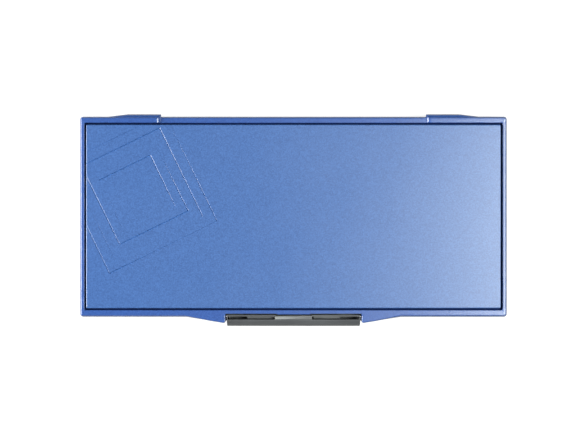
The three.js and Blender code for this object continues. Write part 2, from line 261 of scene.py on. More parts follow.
foot_bend, flange_bend, top_bend, floor_bend = 1 * mm, 0.25 * mm, 0.3 * mm, 0.5 * mm
top_in = 0.06 * mm
flange_in = wall_path + (flange_path - wall_path) * 0.88
base = loft("base_moulding", [
    wall_row(draft + 1.2 * mm, tray_bottom),
    quarter(wall_row(draft + foot_bend, tray_bottom), wall_row(draft, tray_bottom),
            wall_row(draft, tray_bottom + foot_bend)),
    lift(wall_path, flange_bottom - 0.3 * mm),
    lift(wall_path + (flange_path - wall_path) * 0.02, flange_bottom),
    quarter(lift(flange_in, flange_bottom), lift(flange_path, flange_bottom),
            lift(flange_path, flange_bottom + flange_bend)),
    quarter(lift(flange_path, flange_top - flange_bend), lift(flange_path, flange_top),
            lift(flange_in, flange_top)),
    wall_row(0.02 * mm, flange_top),
    quarter(wall_row(top_in, tray_top - top_bend), wall_row(top_in, tray_top),
            wall_row(top_in + top_bend, tray_top)),
    quarter(wall_row(wall - top_bend, tray_top), wall_row(wall, tray_top),
            wall_row(wall, tray_top - top_bend)),
    quarter(wall_row(wall, floor_z + floor_bend), wall_row(wall, floor_z),
            wall_row(wall + floor_bend, floor_z)),
])

pin_low, pin_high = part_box("hinge_pin_right")
lug_radius, lug_width, pin_set = 2 * mm, 2.8 * mm, 0.3 * mm
lug_starts = (pin_low.x - pin_set, pin_high.x + pin_set - lug_width)
lug_round, lug_root = lug_radius * 0.999, tray_rear - 0.8 * mm
lug_section = rounded_path([
    (lug_root, hinge_z - lug_radius, 0), (hinge_y + lug_radius, hinge_z - lug_radius, lug_round),
    (hinge_y + lug_radius, hinge_z + lug_radius, lug_round), (lug_root, hinge_z + lug_radius, 0),
], step=1, arc_points=13)
lug_spans = [on_side(side, start, start + lug_width) for side in (1, -1) for start in lug_starts]
combine(base, [bar("lug", lug_section, *span) for span in lug_spans], "UNION")
bore_radius, bore_span = 1.3 * mm, (60 * mm, 84 * mm)
bore = disc(hinge_y, hinge_z, bore_radius)
combine(base, [bar("bore", bore, *on_side(side, *bore_span)) for side in (1, -1)], "DIFFERENCE")


def sunk_disc(x, y, radius, top):
    """A tool that cuts a round recess into the underside at (x, y), up to height top."""
    return turned("recess", [(radius, 0), (radius, top)], (x, y, 0))


# Underneath: the recesses for the feet, a plain sunk field in the middle, and the ejector marks.
foot_radius, foot_gap, recess_top = 5 * mm, 0.3 * mm, 1.5 * mm
field_x, field_y, field_depth, field_corner = 45 * mm, 14 * mm, 0.3 * mm, 3 * mm
ejector_radius, ejector_depth = 2 * mm, 0.12 * mm
foot_nodes = [f"foot_{end}_{side}" for end in ("front", "rear") for side in ("left", "right")]
foot_places = [(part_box(node)[0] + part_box(node)[1]) / 2 for node in foot_nodes]
marks = [sunk_disc(place.x, place.y, foot_radius + foot_gap, recess_top) for place in foot_places]
marks.append(block(-field_x, field_x, -field_y, field_y, 0, tray_bottom + field_depth, field_corner))
marks += [sunk_disc(x * mm, y * mm, ejector_radius, tray_bottom + ejector_depth)
          for x in (-62, 62) for y in (-28, 0, 28)]
combine(base, marks, "DIFFERENCE")


def put(tree, kind, inputs=None, **settings):
    """Adds a node. inputs maps its socket names or numbers to values, or to sockets that feed them."""
    made = tree.nodes.new(kind)
    for key, value in settings.items():
        setattr(made, key, value)
    for key, value in (inputs or {}).items():
        if isinstance(value, bpy.types.NodeSocket):
            tree.links.new(value, made.inputs[key])
        else:
            made.inputs[key].default_value = value
    return made


def new_group(name, inputs, outputs):
    """An empty shader node group with float inputs, but for Vector, and float outputs."""
    tree = bpy.data.node_groups.new(name, "ShaderNodeTree")
    for socket in inputs:
        kind = "NodeSocketVector" if socket == "Vector" else "NodeSocketFloat"
        tree.interface.new_socket(socket, in_out="INPUT", socket_type=kind)
    for socket in outputs:
        tree.interface.new_socket(socket, in_out="OUTPUT", socket_type="NodeSocketFloat")
    return tree, tree.nodes.new("NodeGroupInput").outputs, tree.nodes.new("NodeGroupOutput").inputs


def math_node(tree, operation, a, b=0.0):
    return put(tree, "ShaderNodeMath", {0: a, 1: b}, operation=operation).outputs[0]


def noise(tree, where, scale, detail, roughness=0.5):
    """Noise from 0 to 1 with about scale cells a metre."""
    inputs = {"Vector": where, "Scale": scale, "Detail": detail, "Roughness": roughness}
    return put(tree, "ShaderNodeTexNoise", inputs).outputs["Fac"]


# Moulded grain: the fine spark-eroded texture of the mould, with soft patches where it is shinier.
grain_group, given, made = new_group("moulded grain", ["Vector", "Size mm"], ["Height", "Patches"])
per_metre = math_node(grain_group, "DIVIDE", 1000.0, given["Size mm"])
grain_group.links.new(noise(grain_group, given["Vector"], per_metre, 3, 0.6), made["Height"])
grain_group.links.new(noise(grain_group, given["Vector"], 55, 4), made["Patches"])


def principled(name, colour, roughness, metallic=0.0):
    """A new material with its Principled shader; colour is linear RGB."""
    material = bpy.data.materials.new(name)
    material.use_nodes = True
    tree = material.node_tree
    shader = tree.nodes["Principled BSDF"]
    shader.inputs["Base Color"].default_value = (*colour, 1)
    shader.inputs["Roughness"].default_value = roughness
    shader.inputs["Metallic"].default_value = metallic
    where = put(tree, "ShaderNodeTexCoord").outputs["Object"]
    return material, tree, shader, where


def blend_colours(tree, factor, a, b):
    """The colour a where factor is 0 and b where it is 1."""
    mix = put(tree, "ShaderNodeMix", {"Factor": factor}, data_type="RGBA")
    mix.inputs["A"].default_value = (*a, 1)
    mix.inputs["B"].default_value = (*b, 1)
    return mix.outputs["Result"]


def ramp(tree, value, low, high, out_low=0.0, out_high=1.0):
    """value carried from the span low..high to out_low..out_high, and held at its ends."""
    return put(tree, "ShaderNodeMapRange", {"Value": value, "From Min": low, "From Max": high,
                                            "To Min": out_low, "To Max": out_high}).outputs["Result"]


def bump(tree, shader, height, distance):
    """Raises the surface by up to distance where height is 1."""
    raised = put(tree, "ShaderNodeBump", {"Height": height, "Distance": distance}).outputs["Normal"]
    tree.links.new(raised, shader.inputs["Normal"])


def moulded(name, dark, light, roughness, grain_mm=0.5, depth=0.012 * mm):
    """Satin moulded plastic: two close shades in patches, uneven gloss and a fine grain."""
    material, tree, shader, where = principled(name, dark, roughness)
    grain = put(tree, "ShaderNodeGroup", {"Vector": where, "Size mm": grain_mm}, node_tree=grain_group)
    colour = blend_colours(tree, ramp(tree, grain.outputs["Patches"], 0.35, 0.65), dark, light)
    tree.links.new(colour, shader.inputs["Base Color"])
    gloss = ramp(tree, grain.outputs["Patches"], 0.3, 0.7, roughness - 0.05, roughness + 0.07)
    tree.links.new(gloss, shader.inputs["Roughness"])
    bump(tree, shader, grain.outputs["Height"], depth)
    return material


def finish_piece(piece, material, body, slot, *nodes):
    """Gives a piece its material and body, and hides the CAD nodes that it stands for. slot is not used."""
    shading = piece.modifiers.new("flat faces stay flat", "WEIGHTED_NORMAL")
    shading.keep_sharp = True
    piece.data.materials.clear()
    piece.data.materials.append(material)
    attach(piece, body)
    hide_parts(*nodes)


dark_plastic = moulded("dark grey plastic", (0.052, 0.058, 0.066), (0.064, 0.071, 0.08), 0.42)
finish_piece(base, dark_plastic, "base", "base_plastic", "base_tray")


# ---- Feet ------------------------------------------------------
# Four turned discs of black rubber, stuck into recesses under the tray. Each has a shallow dish in
# its face and a rounded rim.

rubber = moulded("black rubber", (0.012, 0.012, 0.013), (0.022, 0.022, 0.023), 0.72, 0.35, 0.02 * mm)
dish_depth, foot_height = 0.25 * mm, 1.2 * mm
foot_profile = [
    (0.4 * mm, dish_depth), (3.2 * mm, dish_depth), (3.5 * mm, 0.05 * mm), (3.8 * mm, 0), (4.5 * mm, 0),
    (foot_radius - 0.15 * mm, 0.12 * mm), (foot_radius, 0.4 * mm), (foot_radius, foot_height),
]
for node, place in zip(foot_nodes, foot_places):
    foot = turned(node.replace("foot", "rubber_foot"), foot_profile, (place.x, place.y, 0))
    finish_piece(foot, rubber, "base", "foot_rubber", node)


# ---- Hinge pins ------------------------------------------------
# Two lengths of drawn steel wire with their ends broken, pressed through the tray's lugs. The lid's
# knuckles turn on them.

steel, tree, shader, where = principled("steel wire", (0.5, 0.51, 0.52), 0.28, 1.0)
drawn = put(tree, "ShaderNodeMapping", {"Vector": where, "Scale": (60, 6000, 6000)}).outputs[0]
lines = noise(tree, drawn, 1, 2)
tree.links.new(ramp(tree, lines, 0.3, 0.7, 0.2, 0.4), shader.inputs["Roughness"])
bump(tree, shader, lines, 0.003 * mm)
for side in ("left", "right"):
    low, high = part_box(f"hinge_pin_{side}")
    r, broken = (high.z - low.z) / 2, 0.25 * mm
    profile = [(r - broken, low.x), (r, low.x + broken), (r, high.x - broken), (r - broken, high.x)]
    pin = turned(f"steel_pin_{side}", profile, (0, hinge_y, hinge_z), along_x=True, crease=50)
    finish_piece(pin, steel, "base", "pin_steel", f"hinge_pin_{side}")


# ---- Pad cartridge ---------------------------------------------
# A thin black tray that drops into the base and holds the pad. It lifts out as one piece with the
# frame when the pad is changed.


def path_row(box, radius, z, path):
    """Every point of path carried to the nearest place on a rounded box, at height z."""
    return lift(nearest(path, box, radius), z)


def outline_rows(box, radius, least, step=2 * mm):
    """A function that gives a rounded box's outline drawn in by a distance, at height z. The corners'
    radius falls by the same distance, but not below least."""
    path = box_path(box, radius, step)
    return lambda by, z: path_row(inset(box, by), max(radius - by, least), z, path)


black_plastic = moulded("black plastic", (0.014, 0.015, 0.017), (0.021, 0.022, 0.025), 0.5, 0.4)
well_box, well_bottom, well_top = reach("pad_cartridge")
well_row = outline_rows(well_box, 2.4 * mm, 0.8 * mm)
well_wall, well_floor = 1.2 * mm, well_bottom + 1 * mm
foot_round, top_round, floor_round = 0.8 * mm, 0.2 * mm, 0.4 * mm
cartridge = loft("cartridge_tray", [
    quarter(well_row(foot_round, well_bottom), well_row(0, well_bottom),
            well_row(0, well_bottom + foot_round)),
    quarter(well_row(0, well_top - top_round), well_row(0, well_top), well_row(top_round, well_top)),
    well_row(well_wall, well_top),
    quarter(well_row(well_wall, well_floor + floor_round), well_row(well_wall, well_floor),
            well_row(well_wall + floor_round, well_floor)),
])
finish_piece(cartridge, black_plastic, "base", "cartridge_plastic", "pad_cartridge")


# ---- Backing board ---------------------------------------------
# A stiff sheet of grey plastic, cut to the cartridge and laid in it under the felt. The CAD solid has
# its true shape, and only gets its material here.

board_grey = moulded("grey sheet plastic", (0.33, 0.32, 0.29), (0.38, 0.37, 0.34), 0.6, 0.8)
board = frame["nodes"]["backing_board"]
board.data.materials.clear()
board.data.materials.append(board_grey)


# ---- Felt and foam ---------------------------------------------
# The felt stores the ink and the foam above it lets the face give. Both are die-cut sheets with
# soft edges, soaked blue.


def soft_slab(name, node, edge):
    """A sheet with rounded edges that fills a node's box, its faces very slightly uneven:
    the height of the faces varies by the product of two slow sines."""
    box, bottom, top = reach(node)
    path = box_path(box, 3 * mm)
    rings = [inset(box, by) for by in np.linspace(edge, 0.45 * (box[2] - box[1]), 12)]
    uneven, waves_across, waves_deep = 0.05 * mm, 190, 230
    under = [path_row(ring, 1.5 * mm, bottom, path) for ring in rings[::-1]]
    over = [path_row(ring, 1.5 * mm, top, path) for ring in rings]
    side = [quarter(under[-1], lift(path, bottom), lift(path, bottom + edge)),
            quarter(lift(path, top - edge), lift(path, top), over[0])]
    rows = np.concatenate([r if r.ndim == 3 else r[None] for r in under + side + over])
    waves = np.sin(rows[..., 0] * waves_across) * np.sin(rows[..., 1] * waves_deep + 1)
    rows[..., 2] += uneven * waves * np.where(rows[..., 2] > (bottom + top) / 2, -1, 1)
    return loft(name, [rows], crease=60)


def fibrous(name, dark, light, fibre_mm, depth):
    """Matted fibres or foam cells, darker in the hollows."""
    material, tree, shader, where = principled(name, dark, 0.9)
    grain = put(tree, "ShaderNodeGroup", {"Vector": where, "Size mm": fibre_mm}, node_tree=grain_group)
    tree.links.new(blend_colours(tree, ramp(tree, grain.outputs["Height"], 0.3, 0.7), dark, light),
                   shader.inputs["Base Color"])
    bump(tree, shader, grain.outputs["Height"], depth)
    return material


felt = soft_slab("felt_ink_store", "felt_reservoir", 0.7 * mm)
finish_piece(felt, fibrous("inked felt", (0.006, 0.012, 0.1), (0.02, 0.04, 0.26), 0.5, 0.15 * mm),
             "base", "inked_felt", "felt_reservoir")
foam = soft_slab("foam_pad", "foam_layer", 0.6 * mm)
finish_piece(foam, fibrous("inked foam", (0.01, 0.02, 0.16), (0.03, 0.06, 0.34), 0.7, 0.2 * mm),
             "base", "inked_foam", "foam_layer")


# ---- Inked cloth -----------------------------------------------
# The pad's face: a fine plain-woven cloth drawn over the foam and tucked down inside the frame. The
# foam holds it up in a low crown, and the tuck pulls its edge down in a soft roll.

cloth_box, _, cloth_top = reach("pad_cloth")
cloth_x, cloth_front, cloth_rear = cloth_box
cloth_corner = 3 * mm
cloth_path = box_path(cloth_box, cloth_corner, step=1.8 * mm)
roll, tuck, cloth_thickness = 1.9 * mm, 2.6 * mm, 0.35 * mm
across_half = (cloth_rear - cloth_front) / 2


def cloth_row(by, z):
    """The cloth's outline drawn in by a distance, at height z. Its corners sharpen inwards."""
    return path_row(inset(cloth_box, by), max(cloth_corner - by * 0.8, 0.3 * mm), z, cloth_path)


# The crown's height falls from the middle to the edge as a parabola.
crown, room_to_rise, middle_hole = 0.16 * mm, 0.12 * mm, 0.4 * mm
rings = roll + (across_half - roll - middle_hole) * np.linspace(0, 1, 30)[1:] ** 1.1
start_top = cloth_top - room_to_rise
edge_rows = quarter(cloth_row(0, start_top - roll), cloth_row(0, start_top), cloth_row(roll, start_top), 9)
face_rows = [cloth_row(by, start_top + crown * (1 - (1 - by / across_half) ** 2)) for by in rings]
cloth_rows = np.array([cloth_row(0, start_top - roll - tuck), *edge_rows, *face_rows])
index = np.arange(cloth_rows[..., 0].size).reshape(cloth_rows.shape[:2])
cloth_mesh = bpy.data.meshes.new("woven_face")
cloth_mesh.from_pydata(cloth_rows.reshape(-1, 3).tolist(), [],
                       between(index[:-1], index[1:]) + [index[-1].tolist()])
cloth = new_object("woven_face", cloth_mesh)


def settle_cloth(piece, held_rows, most_up):
    """Lets the foam's push fill the cloth out: a cloth simulation with pressure from below and no
    gravity, held at its tucked edge, with each point's rise kept under most_up."""
    tucked = piece.vertex_groups.new(name="tucked")
    tucked.add(held_rows.ravel().tolist(), 1.0, "REPLACE")
    sim = piece.modifiers.new("cloth", "CLOTH")
    sim.settings.quality = 5
    sim.settings.mass = 0.2
    sim.settings.tension_stiffness = 40
    sim.settings.bending_stiffness = 2
    sim.settings.use_pressure = True
    sim.settings.uniform_pressure_force = 1.2
    sim.settings.vertex_group_mass = "tucked"
    sim.settings.effector_weights.gravity = 0
    last_frame = 20
    sim.point_cache.frame_end = last_frame
    at_rest = np.empty(len(piece.data.vertices) * 3)
    piece.data.vertices.foreach_get("co", at_rest)
    for step in range(1, last_frame + 1):
        bpy.context.scene.frame_set(step)
    moved = np.empty_like(at_rest)
    whole = piece.evaluated_get(bpy.context.evaluated_depsgraph_get())
    whole.data.vertices.foreach_get("co", moved)
    piece.modifiers.remove(sim)
    bpy.context.scene.frame_set(1)
    shift = (moved - at_rest).reshape(-1, 3)
    length = np.linalg.norm(shift, axis=1, keepdims=True)
    shift *= np.minimum(1, most_up * np.tanh(length / most_up) / np.maximum(length, 1e-9))
    piece.data.vertices.foreach_set("co", (at_rest.reshape(-1, 3) + shift).ravel())
    piece.data.update()


tucked_rows, most_up = 4, 0.2 * mm
settle_cloth(cloth, index[:tucked_rows], most_up)
thicken = cloth.modifiers.new("thickness", "SOLIDIFY")
thicken.thickness, thicken.offset = cloth_thickness, -1
smooth(cloth, 60)

# Plain weave: threads over and under each other as the product of two sines, one for each direction.
weave_group, given, made = new_group("plain weave", ["Vector", "Thread mm"], ["Height", "Over"])
turns = math_node(weave_group, "DIVIDE", math.pi * 1000, given["Thread mm"])
axes = put(weave_group, "ShaderNodeSeparateXYZ", {0: given["Vector"]})
warp = math_node(weave_group, "SINE", math_node(weave_group, "MULTIPLY", axes.outputs["X"], turns))
weft = math_node(weave_group, "SINE", math_node(weave_group, "MULTIPLY", axes.outputs["Y"], turns))
over = math_node(weave_group, "MULTIPLY", warp, weft)
ridges = math_node(weave_group, "MAXIMUM", math_node(weave_group, "ABSOLUTE", warp),
                   math_node(weave_group, "ABSOLUTE", weft))
weave_group.links.new(math_node(weave_group, "ADD", ridges, math_node(weave_group, "MULTIPLY", over, 0.5)),
                      made["Height"])
weave_group.links.new(over, made["Over"])

inked, tree, shader, where = principled("inked cloth", (0.006, 0.012, 0.12), 0.5)
weave = put(tree, "ShaderNodeGroup", {"Vector": where, "Thread mm": 0.42}, node_tree=weave_group)
wet = noise(tree, where, 38, 5)
paler = math_node(tree, "ADD", ramp(tree, wet, 0.35, 0.65, 0, 0.7),
                  ramp(tree, weave.outputs["Over"], -1, 1, 0, 0.3))
tree.links.new(blend_colours(tree, paler, (0.003, 0.008, 0.06), (0.008, 0.024, 0.16)),
               shader.inputs["Base Color"])
tree.links.new(ramp(tree, wet, 0.3, 0.7, 0.55, 0.75), shader.inputs["Roughness"])
shader.inputs["Specular IOR Level"].default_value = 0.3
shader.inputs["Sheen Weight"].default_value = 0.05
bump(tree, shader, weave.outputs["Height"], 0.06 * mm)
finish_piece(cloth, inked, "base", "inked_cloth", "pad_cloth")


# ---- Cloth frame -----------------------------------------------
# A black ring that snaps onto the cartridge and traps the cloth's edge. Its top slopes gently down to
# the pad, and a lip reaches down inside the cartridge's wall.

frame_box, lip_bottom, frame_top = reach("cloth_frame")
frame_corner, frame_width, frame_slope = 2.4 * mm, 3.4 * mm, 0.3 * mm
lip_in, flat_bottom, top_round = 1.6 * mm, frame_top - 1 * mm, 0.35 * mm
inner_top, inner_round = frame_top - frame_slope, 0.5 * mm
frame_path = box_path(frame_box, frame_corner)


def frame_row(by, z, radius=3 * mm):
    """The frame's outline drawn in by a distance, at height z."""
    return path_row(inset(frame_box, by), radius, z, frame_path)


ring_frame = loft("snap_frame", [
    frame_row(0, flat_bottom, frame_corner),
    quarter(frame_row(0, frame_top - top_round, frame_corner), frame_row(0, frame_top, frame_corner),
            frame_row(top_round, frame_top, 2.1 * mm)),
    frame_row(1.5 * mm, frame_top, frame_corner),
    quarter(frame_row(frame_width - inner_round, inner_top), frame_row(frame_width, inner_top),
            frame_row(frame_width, inner_top - inner_round)),
    frame_row(frame_width, lip_bottom),
    frame_row(lip_in, lip_bottom),
    frame_row(lip_in, flat_bottom),
], ring=True)
finish_piece(ring_frame, black_plastic, "base", "cartridge_plastic", "cloth_frame")


# ---- Lid shell -------------------------------------------------
# The upper half of the case, moulded in pearl blue. Its outline runs out into two flares beside the
# latch's notch and two hinge bulges at the back. The rim between the hinges lies a little lower.

(shell_x, flare_front, bulge_rear), _, rim_top = reach("lid_shell")
closing_gap = 0.3 * mm
skirt_bottom = flange_top + closing_gap
flare_proud, bulge_proud = 2.95 * mm, 1.15 * mm
rim_front, rim_rear = flare_front + flare_proud, bulge_rear - bulge_proud
latch_x, latch_gap, notch_y = 31.2 * mm, 0.7 * mm, rim_front + 1.2 * mm
notch_x = latch_x + latch_gap
flare_x = notch_x + 18.4 * mm
strip_x, strip_step = 8.4 * mm, 0.4 * mm
arm_x, taper_x, bulge_x = 62.4 * mm, 77.7 * mm, 86.7 * mm
notch_floor = 12.3 * mm
panel_box, panel_bottom, panel_top = reach("lid_panel")
groove_box = inset(panel_box, -0.95 * mm)
deck_top, deck_bottom = panel_bottom - 0.3 * mm, panel_bottom - 1.9 * mm
arm_drop, arm_round = 1.4 * mm, 1.8 * mm
groove_corner, flare_end, arm_shift = 0.6 * mm, 0.8 * mm, 0.11 * mm

# A length shorter than any step of the outline, for telling its stretches apart.
hair = 0.01 * mm
# Points close together where each arm's end rounds down to the lowered strip.
arm_ends = [(arm_x + arm_round * (1 - math.sin(a)), bulge_rear, 0) for a in np.linspace(0, 1.2, 8)]
right_side = [
    (notch_x, notch_y, 0.4 * mm), (notch_x, flare_front, 0.9 * mm), (flare_x, rim_front, 5 * mm),
    (shell_x, rim_front, 1.4 * mm), (shell_x, rim_rear, 1.4 * mm), (bulge_x, rim_rear, 5 * mm),
    (taper_x, bulge_rear, 8 * mm), *arm_ends, (arm_x, bulge_rear, 0), (arm_x, rim_rear, 0),
]
left_side = [(-x, y, r) for x, y, r in right_side[::-1]]
lid_path = rounded_path(right_side + left_side, step=1 * mm)
lid_out = outward(lid_path)
x_at, y_at = np.abs(lid_path[:, 0]), lid_path[:, 1]
at_back = y_at > rim_rear - hair
bulging = np.clip((y_at - rim_rear) / bulge_proud, 0, 1)
in_notch = (x_at < notch_x + hair) & (y_at > notch_y - 0.2 * mm) & (y_at < 0)
step_down = np.clip((arm_x + arm_round - x_at) / arm_round, 0, 1) * at_back
rim_z = rim_top - arm_drop * (1 - np.sqrt(1 - step_down**2))
# Edges are well rounded, but for the notch's back, which is crisp.
crisp = np.where((x_at < notch_x - 0.6 * mm) & in_notch, 1, np.clip(-lid_out[:, 1], 0, 1) * in_notch)
round_in = (0.5 - 0.25 * crisp) * mm
round_down = (0.8 - 0.5 * crisp) * mm
foot_z = np.where(in_notch, notch_floor, skirt_bottom)
# Where each point of the outline is joined to on the groove and inside the skirt: straight across,
# but the flares' ends are spread back along the rim, and the arms' ends join just behind themselves.
flaring = (x_at < flare_x) & (x_at > notch_x - hair) & (y_at < notch_y - 0.3 * mm)
flare_run = flare_x - x_at + np.where(x_at < notch_x + hair, y_at - flare_front, 0)
flare_run /= flare_x - notch_x + notch_y - flare_front
opposite_x = np.where(flaring, flare_x - (flare_x - notch_x - flare_end) * flare_run, x_at)
opposite_x += np.where((x_at < arm_x + hair) & (bulging > 0.01), arm_shift, 0)
opposite = np.column_stack([np.sign(lid_path[:, 0]) * opposite_x, y_at])
# The wall leans in towards the top, except beside and behind the latch and at the arms' ends.
upright = np.clip(1.2 - np.abs(x_at - arm_x) / mm, 0, 1) * at_back
upright = np.where(flaring, np.clip(2 * flare_run, 0, 1), upright)
upright = np.where((x_at < notch_x + hair) & (y_at < 0), 1, upright)
lean = 0.5 * mm * (1 - upright)


def lid_row(by, z):
    """The lid's outline drawn in by a distance, at height z."""
    return lift(lid_path - lid_out * np.broadcast_to(by, len(lid_path))[:, None], z)


def top_row(by, z):
    """The top's edge drawn in by a distance, at height z. It runs straight past the bulges."""
    back = lift(np.column_stack([lid_path[:, 0], np.minimum(y_at, rim_rear - by)]), z)
    return np.where(at_back[:, None], back, lid_row(by, z))


def groove_row(by, z):
    """The groove's outer wall drawn out by a distance, at height z."""
    return path_row(inset(groove_box, -by), groove_corner + by, z, opposite)


skirt_box = inset((shell_x, rim_front, rim_rear), wall)
inner = nearest(opposite, skirt_box, wall_corner)
# Behind the latch the inner wall steps back, and less so at the notch's corners.
inner[:, 1] += np.where(in_notch, np.where(x_at < notch_x - 1.2 * mm, 1.15, 0.6), 0) * mm
side_top = rim_z - 1.2 * mm
shell = loft("lid_moulding", [
    path_row(inset(groove_box, 3 * mm), groove_corner, deck_top, opposite),
    quarter(groove_row(-0.15 * mm, deck_top), groove_row(0, deck_top),
            groove_row(0, deck_top + 0.15 * mm), 3),
    groove_row(0, deck_top + 0.65 * mm),
    quarter(groove_row(0, rim_z - 0.2 * mm), groove_row(0, rim_z), groove_row(0.2 * mm, rim_z), 4),
    quarter(top_row(lean + round_in, rim_z), top_row(lean, rim_z), top_row(lean, rim_z - round_down), 7),
    top_row(lean, rim_z - 1.1 * mm),
    quarter(top_row(lean, side_top), lid_row(lean, side_top), lid_row(0, rim_z - (2.4 + bulging) * mm), 8),
    quarter(lid_row(0, foot_z + 0.1 * mm), lid_row(0, foot_z), lid_row(0.1 * mm, foot_z), 3),
    lift(inner, foot_z),
    lift(inner, deck_bottom),
], crease=32)

# The knuckles turn on the pins. Each is a barrel that runs up into the back of the lid, and a heel
# below it that meets the tray when the lid is wide open.
side_gap = 0.3 * mm
knuckle_span = (lug_starts[0] + lug_width + side_gap, lug_starts[1] - side_gap)
windows = [block(a - side_gap, b + side_gap, tray_rear - 1.6 * mm, bulge_rear + 1 * mm, 0,
                 hinge_z + lug_radius + lid_clearance) for a, b in lug_spans]
web = rounded_path([
    (rim_rear - 1.6 * mm, hinge_z, 0), (bulge_rear, hinge_z, 0), (bulge_rear, hinge_z + 3 * mm, 1 * mm),
    (rim_rear, deck_bottom + 1 * mm, 0), (rim_rear - 1.6 * mm, deck_bottom + 1 * mm, 0)], step=1)
heel_radius, heel_side, heel_spread = 3.2 * mm, 2.5 * mm, 0.5
lid_stop = 122  # degrees at which the heel meets the tray
heel_turn = math.radians(lid_stop - 180) + math.acos((barrel_radius + lid_clearance) / heel_radius)
heel_at = np.array([heel_turn - heel_spread, heel_turn, heel_turn + heel_spread])
heel_out = np.array([heel_side, heel_radius, heel_side])
heel = np.vstack([[hinge_y, hinge_z], np.stack([hinge_y + heel_out * np.cos(heel_at),
                                                hinge_z + heel_out * np.sin(heel_at)], axis=1)])
barrels, bores = [], []
for side in (1, -1):
    span = on_side(side, *knuckle_span)
    barrels += [bar("barrel", disc(hinge_y, hinge_z, barrel_radius), *span),
                bar("web", web, span[0] + 0.1 * mm, span[1] - 0.1 * mm),
                bar("heel", heel, span[0] + 1 * mm, span[1] - 1 * mm)]
    bores.append(bar("bore", bore, span[0] - 1 * mm, span[1] + 1 * mm))
combine(shell, windows, "DIFFERENCE")
combine(shell, barrels, "UNION")
# The latch's trunnions turn in blind holes in the notch's sides.
trunnion_radius, trunnion_gap = 0.9 * mm, 0.15 * mm
trunnion_hole = disc(pivot_y, pivot_z, trunnion_radius + trunnion_gap)
bores += [bar("hole", trunnion_hole, *on_side(side, notch_x - 1 * mm, latch_x + 3.7 * mm))
          for side in (1, -1)]
# Opposite the latch's strips the notch is a little deeper.
bores += [block(*on_side(side, strip_x - latch_gap, notch_x), rim_front - 4 * mm, notch_y + strip_step,
                0, panel_top, 0.3 * mm) for side in (1, -1)]
combine(shell, bores, "DIFFERENCE", crease=32)

# Pearl: flat flakes of mica at random tilts, as cells that each have their own brightness.
pearl_group, given, made = new_group("pearl flakes", ["Vector", "Flake mm"], ["Glint", "Drift"])
flake_scale = math_node(pearl_group, "DIVIDE", 1000.0, given["Flake mm"])
flakes = put(pearl_group, "ShaderNodeTexVoronoi", {"Vector": given["Vector"], "Scale": flake_scale})
tone = put(pearl_group, "ShaderNodeSeparateColor", {0: flakes.outputs["Color"]}).outputs[0]
pearl_group.links.new(tone, made["Glint"])
pearl_group.links.new(noise(pearl_group, given["Vector"], 30, 3), made["Drift"])


def pearl(name, deep, bright, roughness, coat, grain_mm, depth):
    """Pearl plastic: mica flakes in a deep blue, under a satin moulded surface."""
    material, tree, shader, where = principled(name, deep, roughness)
    mica = put(tree, "ShaderNodeGroup", {"Vector": where, "Flake mm": 0.45}, node_tree=pearl_group)
    grain = put(tree, "ShaderNodeGroup", {"Vector": where, "Size mm": grain_mm}, node_tree=grain_group)
    mixed = math_node(tree, "ADD", ramp(tree, mica.outputs["Glint"], 0, 1, 0, 0.55),
                      ramp(tree, grain.outputs["Height"], 0.3, 0.7, 0, 0.45))
    tree.links.new(blend_colours(tree, mixed, deep, bright), shader.inputs["Base Color"])
    tree.links.new(ramp(tree, mica.outputs["Drift"], 0.3, 0.7, roughness - 0.03, roughness + 0.03),
                   shader.inputs["Roughness"])
    shader.inputs["Coat Weight"].default_value = coat
    shader.inputs["Coat Roughness"].default_value = roughness
    bump(tree, shader, grain.outputs["Height"], depth)
    return material


rim_blue = pearl("pearl blue rim", (0.0145, 0.052, 0.216), (0.029, 0.091, 0.325),
                 roughness=0.27, coat=0.75, grain_mm=0.5, depth=0.006 * mm)
finish_piece(shell, rim_blue, "lid", "lid_pearl", "lid_shell")
# Painted shade: the faces at the bottom of the groove get a separate near-black blue material that stands in
# for the shadow deep in the narrow groove.
painted_groove_shade = moulded("dark blue adhesive", (0.002, 0.009, 0.05), (0.003, 0.012, 0.07), 0.7)
painted_groove_shade.node_tree.nodes["Principled BSDF"].inputs["Specular IOR Level"].default_value = 0.1
shell.data.materials.append(painted_groove_shade)
middles = np.empty((len(shell.data.polygons), 3))
shell.data.polygons.foreach_get("center", middles.ravel())
low = np.array([-groove_box[0], groove_box[1], deck_top]) - 2 * hair
high = np.array([groove_box[0] + 2 * hair, groove_box[2] + 2 * hair, deck_top + 0.6 * mm])
in_groove = ((middles > low) & (middles < high)).all(axis=1)
shell.data.polygons.foreach_set("material_index", in_groove.astype(int))


# ---- Lid panel -------------------------------------------------
# A pearl blue plate set into the lid with a narrow groove all round. Its edges are bevelled, and four
# squares, one in another, are engraved at its left end as fine V-shaped cuts that fade out in places.

panel_row = outline_rows(panel_box, 0.6 * mm, 0.1 * mm, step=4 * mm)
bevel = 0.45 * mm
panel = loft("raised_panel", [
    panel_row(0, panel_bottom),
    panel_row(0, panel_top - bevel * 1.2),
    quarter(panel_row(0, panel_top - bevel), panel_row(0, panel_top), panel_row(bevel, panel_top), 6),
], crease=25)

squares_centre = np.array([-73 * mm, rim_front + 57.85 * mm])
squares_turn = math.radians(26)
along_u = np.array([math.cos(squares_turn), math.sin(squares_turn)])
along_v = np.array([-math.sin(squares_turn), math.cos(squares_turn)])
cut_width, cut_depth, cut_steps, shallowest = 0.55 * mm, 0.24 * mm, 13, 0.02


